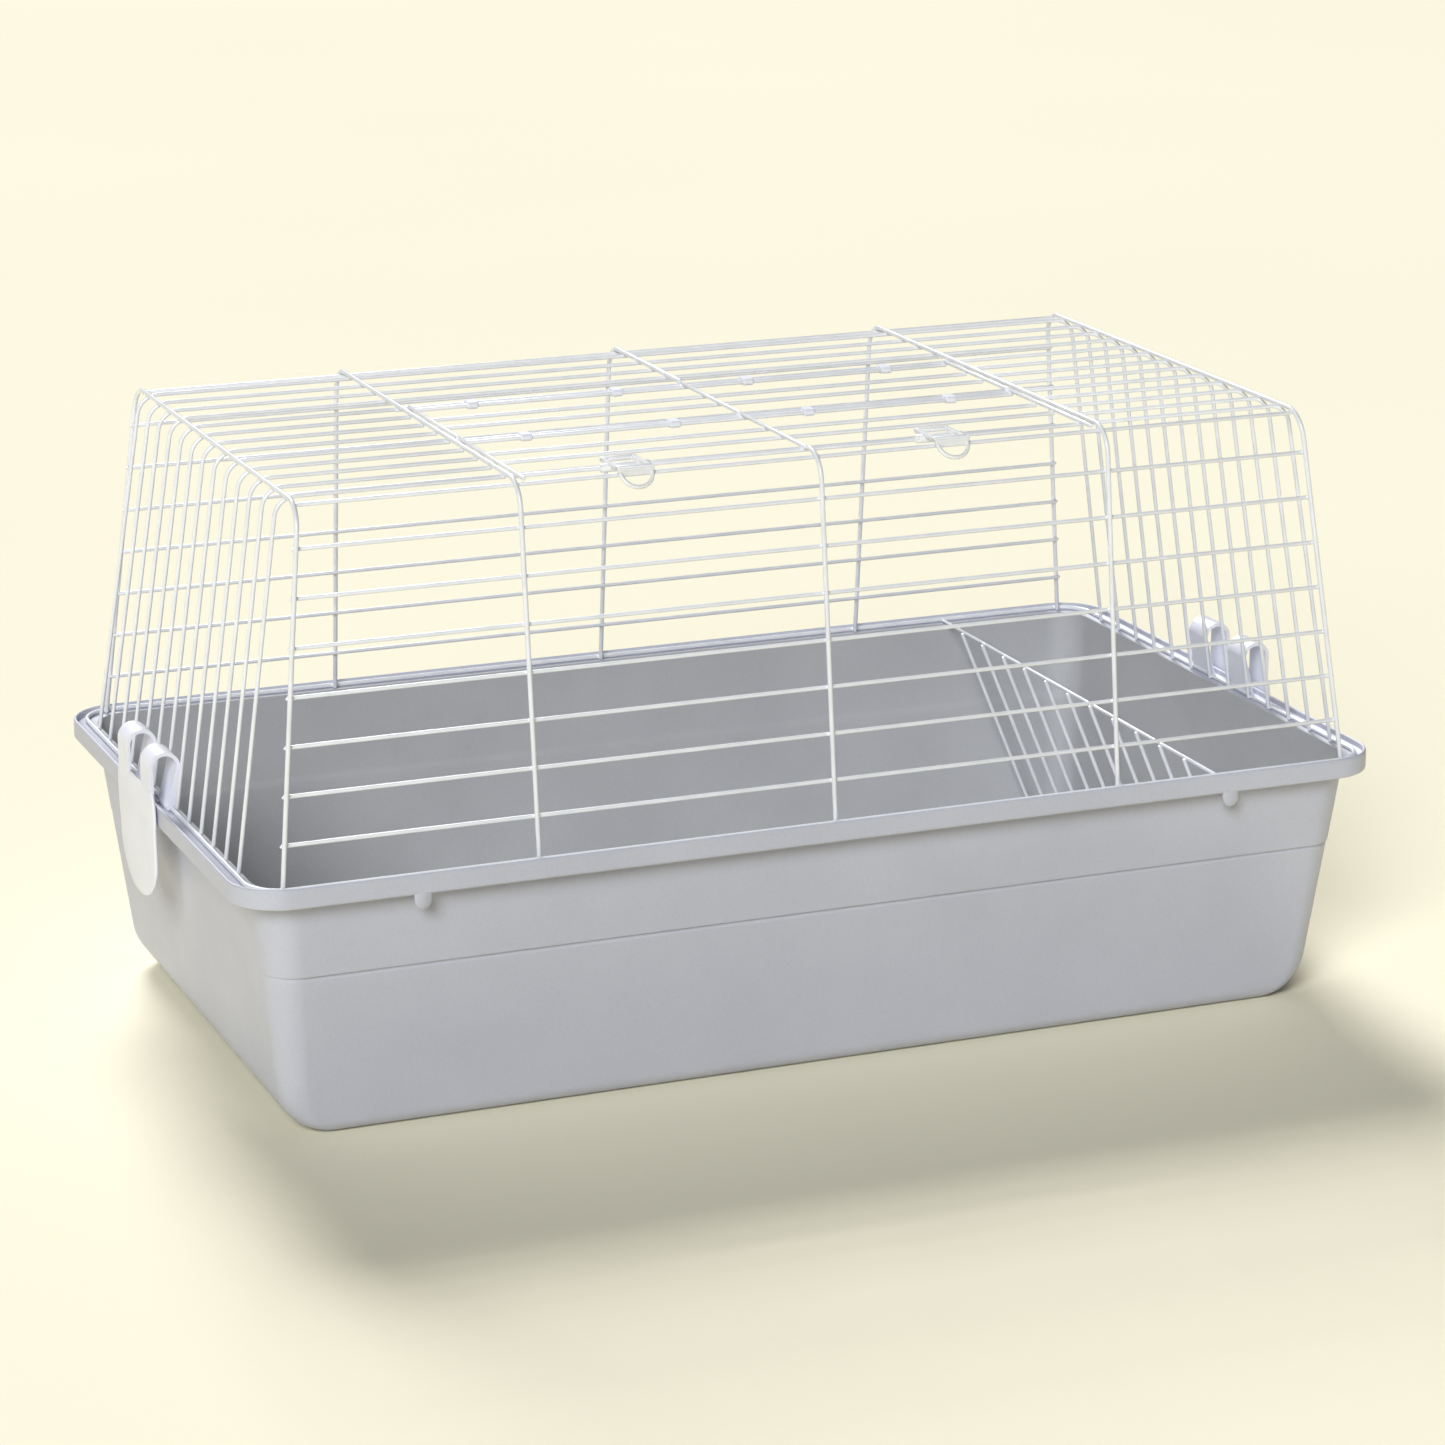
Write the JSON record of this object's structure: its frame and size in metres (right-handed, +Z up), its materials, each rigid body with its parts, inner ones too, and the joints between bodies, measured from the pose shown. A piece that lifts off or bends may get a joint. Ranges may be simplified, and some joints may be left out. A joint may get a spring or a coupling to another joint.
{
  "type": "wire rabbit cage",
  "caption": "Indoor rabbit cage: deep plastic tray under a welded wire top with a folding roof door, finger latches, rim clips and a hay rack.",
  "frame": {"origin": "centre of the tray's underside, on the surface it stands on", "axes": "+X along the cage's length towards the hay rack, +Y towards the back, -Y the long side with the latches, +Z up"},
  "size_m": [1.0096, 0.572, 0.52],
  "materials": {
    "grey_plastic": "satin moulded",
    "white_wire": "gloss powder coat",
    "white_plastic": "satin moulded",
    "latch_plastic": "slightly milky moulded"
  },
  "bodies": {
    "tray": {"tray": "grey_plastic"},
    "wire_top": {"base_frame_wire": "white_wire", "end_hoop_left": "white_wire", "door_hoop_left": "white_wire", "middle_hoop": "white_wire", "door_hoop_right": "white_wire", "end_hoop_right": "white_wire", "front_panel_wires": "white_wire", "back_panel_wires": "white_wire", "front_top_wire": "white_wire", "back_top_wire": "white_wire", "roof_long_wires": "white_wire", "end_wires_left": "white_wire", "end_wires_right": "white_wire", "door_hinge_bar": "white_wire"},
    "rear_leaf": {"rear_leaf_frame": "white_wire", "rear_leaf_wires": "white_wire", "rear_hinge_clips": "white_plastic"},
    "front_leaf": {"front_leaf_frame": "white_wire", "front_leaf_wires": "white_wire", "fold_hinge_clips": "white_plastic"},
    "latch_left": {"latch_left": "latch_plastic"},
    "latch_right": {"latch_right": "latch_plastic"},
    "clip_left": {"clip_left": "white_plastic"},
    "clip_right": {"clip_right": "white_plastic"},
    "hay_rack": {"hay_rack_frame": "white_wire", "hay_rack_slats": "white_wire"}
  },
  "joints": [
    {"name": "wire_top_lift", "type": "slide", "parent": "tray", "child": "wire_top", "axis": [0, 0, 1], "range_m": [0, 0.15]},
    {"name": "rear_leaf_hinge", "type": "hinge", "parent": "wire_top", "child": "rear_leaf", "pos_m": [0, 0.0686, 0.5142], "axis": [-1, 0, 0], "range_deg": [0, 100]},
    {"name": "front_leaf_fold", "type": "hinge", "parent": "rear_leaf", "child": "front_leaf", "pos_m": [0, -0.0686, 0.5142], "axis": [-1, 0, 0], "range_deg": [0, 95]},
    {"name": "latch_left_pivot", "type": "hinge", "parent": "front_leaf", "child": "latch_left", "pos_m": [-0.153, -0.2058, 0.5142], "axis": [-1, 0, 0], "range_deg": [0, 110]},
    {"name": "latch_right_pivot", "type": "hinge", "parent": "front_leaf", "child": "latch_right", "pos_m": [0.12, -0.2058, 0.5142], "axis": [-1, 0, 0], "range_deg": [0, 110]},
    {"name": "clip_left_pivot", "type": "hinge", "parent": "wire_top", "child": "clip_left", "pos_m": [-0.487, 0.01835, 0.22105], "axis": [0, 1, 0], "range_deg": [0, 45]},
    {"name": "clip_right_pivot", "type": "hinge", "parent": "wire_top", "child": "clip_right", "pos_m": [0.487, -0.01835, 0.22105], "axis": [0, -1, 0], "range_deg": [0, 45]},
    {"name": "hay_rack_lift", "type": "slide", "parent": "tray", "child": "hay_rack", "axis": [0, 0, 1], "range_m": [0, 0.025]}
  ]
}
